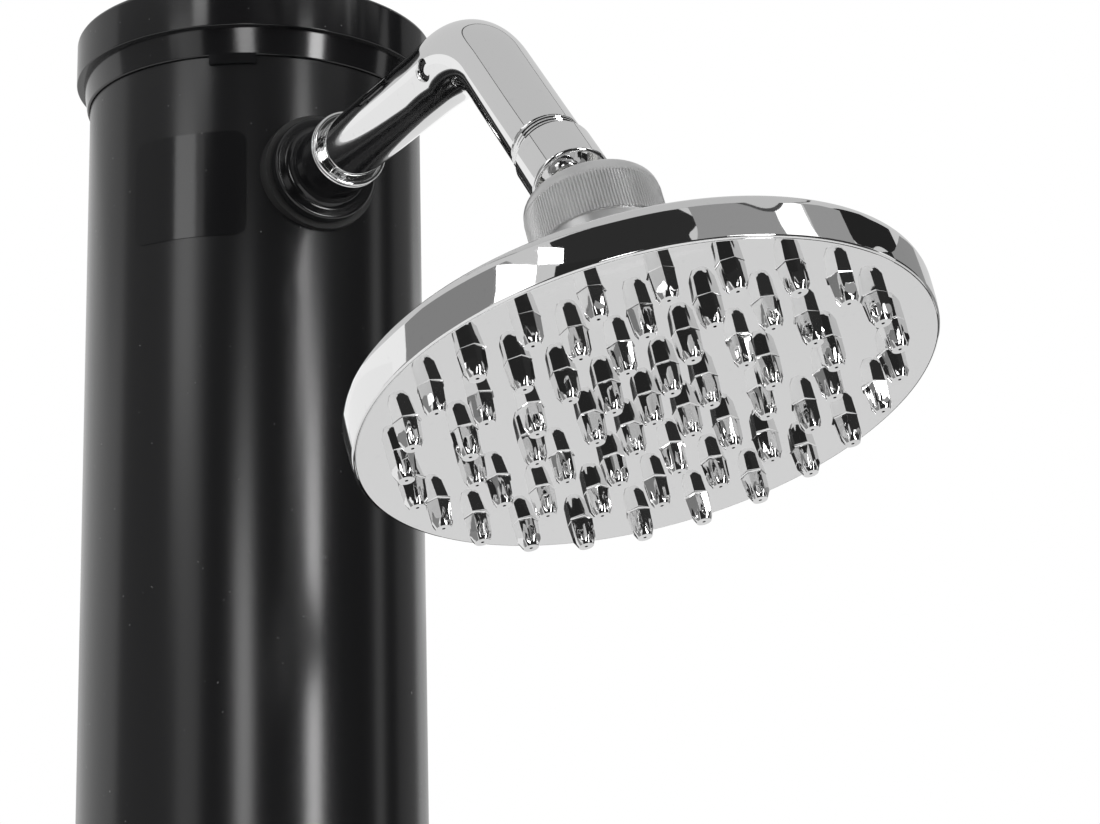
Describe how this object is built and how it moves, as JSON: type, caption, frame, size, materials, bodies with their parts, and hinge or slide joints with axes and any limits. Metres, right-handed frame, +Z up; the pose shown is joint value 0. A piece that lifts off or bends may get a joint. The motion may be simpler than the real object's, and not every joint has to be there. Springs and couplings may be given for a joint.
{
  "type": "outdoor shower post",
  "caption": "Tall black water-filled column on a foot plate with a chrome arm and round rain head on a ball joint, a single-lever mixer and a foot tap.",
  "frame": {"origin": "centre of the foot plate's underside, on the column's axis", "axes": "+Z up the column; +X the way the shower arm, mixer and foot tap point; +Y to the left seen from behind the column"},
  "size_m": [0.4392, 0.2, 2.1509],
  "materials": {
    "black_gloss": "high gloss",
    "black_satin": "satin",
    "chrome": "polished",
    "satin_chrome": "satin, knurled",
    "steel": "plain",
    "rubber": "matte",
    "white_plastic": "natural",
    "pipe": "plain",
    "label": "gloss film",
    "index": "gloss",
    "brass": "machined"
  },
  "bodies": {
    "column": {"base_plate": "black_satin", "base_screws": "steel", "bottom_plug": "black_satin", "bottom_seal": "rubber", "lower_tube": "black_gloss", "upper_tube": "black_gloss", "joint_sleeve": "black_satin", "joint_seals": "rubber", "joint_screws": "steel", "top_plug": "black_satin", "top_seal": "rubber", "top_cap": "black_gloss", "cap_screw": "steel", "front_label": "label", "stem_gaskets": "rubber", "stem_washers": "rubber", "stem_nuts": "brass", "outlet_boss": "black_gloss", "arm_ring": "chrome", "shower_arm": "chrome", "arm_seal": "rubber", "arm_elbow": "chrome", "elbow_screw": "steel", "swivel_nut": "chrome", "nut_washer": "rubber", "ball_stem": "chrome", "flow_restrictor": "white_plastic", "mixer_body": "chrome", "mixer_gasket": "rubber", "mixer_washer": "rubber", "mixer_nut": "brass", "cartridge": "white_plastic", "mixer_cover": "chrome", "tap_body": "chrome", "tap_headwork": "chrome", "hose_connector": "black_satin", "inlet_screen": "steel", "drain_plug": "black_satin", "drain_seal": "rubber", "drain_nut": "brass", "riser_pipe": "pipe", "hot_pipe": "pipe", "cold_pipe": "pipe", "hose_clips": "steel"},
    "ball_liner": {"ball_liner": "white_plastic"},
    "collar": {"head_collar": "satin_chrome"},
    "head": {"head_shell": "chrome", "ball_seal": "rubber", "face_plate": "chrome", "face_seal": "rubber"},
    "spindle": {"spindle": "brass"},
    "lever": {"mixer_lever": "chrome", "lever_pin": "steel", "index_cap": "index"},
    "tap_handle": {"tap_spindle": "brass", "tap_handle": "chrome", "tap_screw": "steel"}
  },
  "joints": [
    {"name": "head_tip", "type": "hinge", "parent": "column", "child": "ball_liner", "pos_m": [0.24599, 0, 2.00574], "axis": [0, -1, 0], "range_deg": [0, 50]},
    {"name": "head_lean", "type": "hinge", "parent": "ball_liner", "child": "collar", "pos_m": [0.24599, 0, 2.00574], "axis": [0.9559, 0, 0.2937], "range_deg": [-20, 11]},
    {"name": "head_spin", "type": "hinge", "parent": "collar", "child": "head", "pos_m": [0.24599, 0, 2.00574], "axis": [-0.2928, -0.0788, 0.9529], "continuous": true},
    {"name": "mixer_swing", "type": "hinge", "parent": "column", "child": "spindle", "pos_m": [0.09, 0, 1.06], "axis": [1, 0, 0], "range_deg": [-45, 45]},
    {"name": "mixer_lift", "type": "hinge", "parent": "spindle", "child": "lever", "pos_m": [0.104, 0, 1.06], "axis": [0, -1, 0], "range_deg": [0, 25]},
    {"name": "tap_turn", "type": "hinge", "parent": "column", "child": "tap_handle", "pos_m": [0.09, 0, 0.33], "axis": [1, 0, 0], "range_deg": [0, 90]}
  ]
}
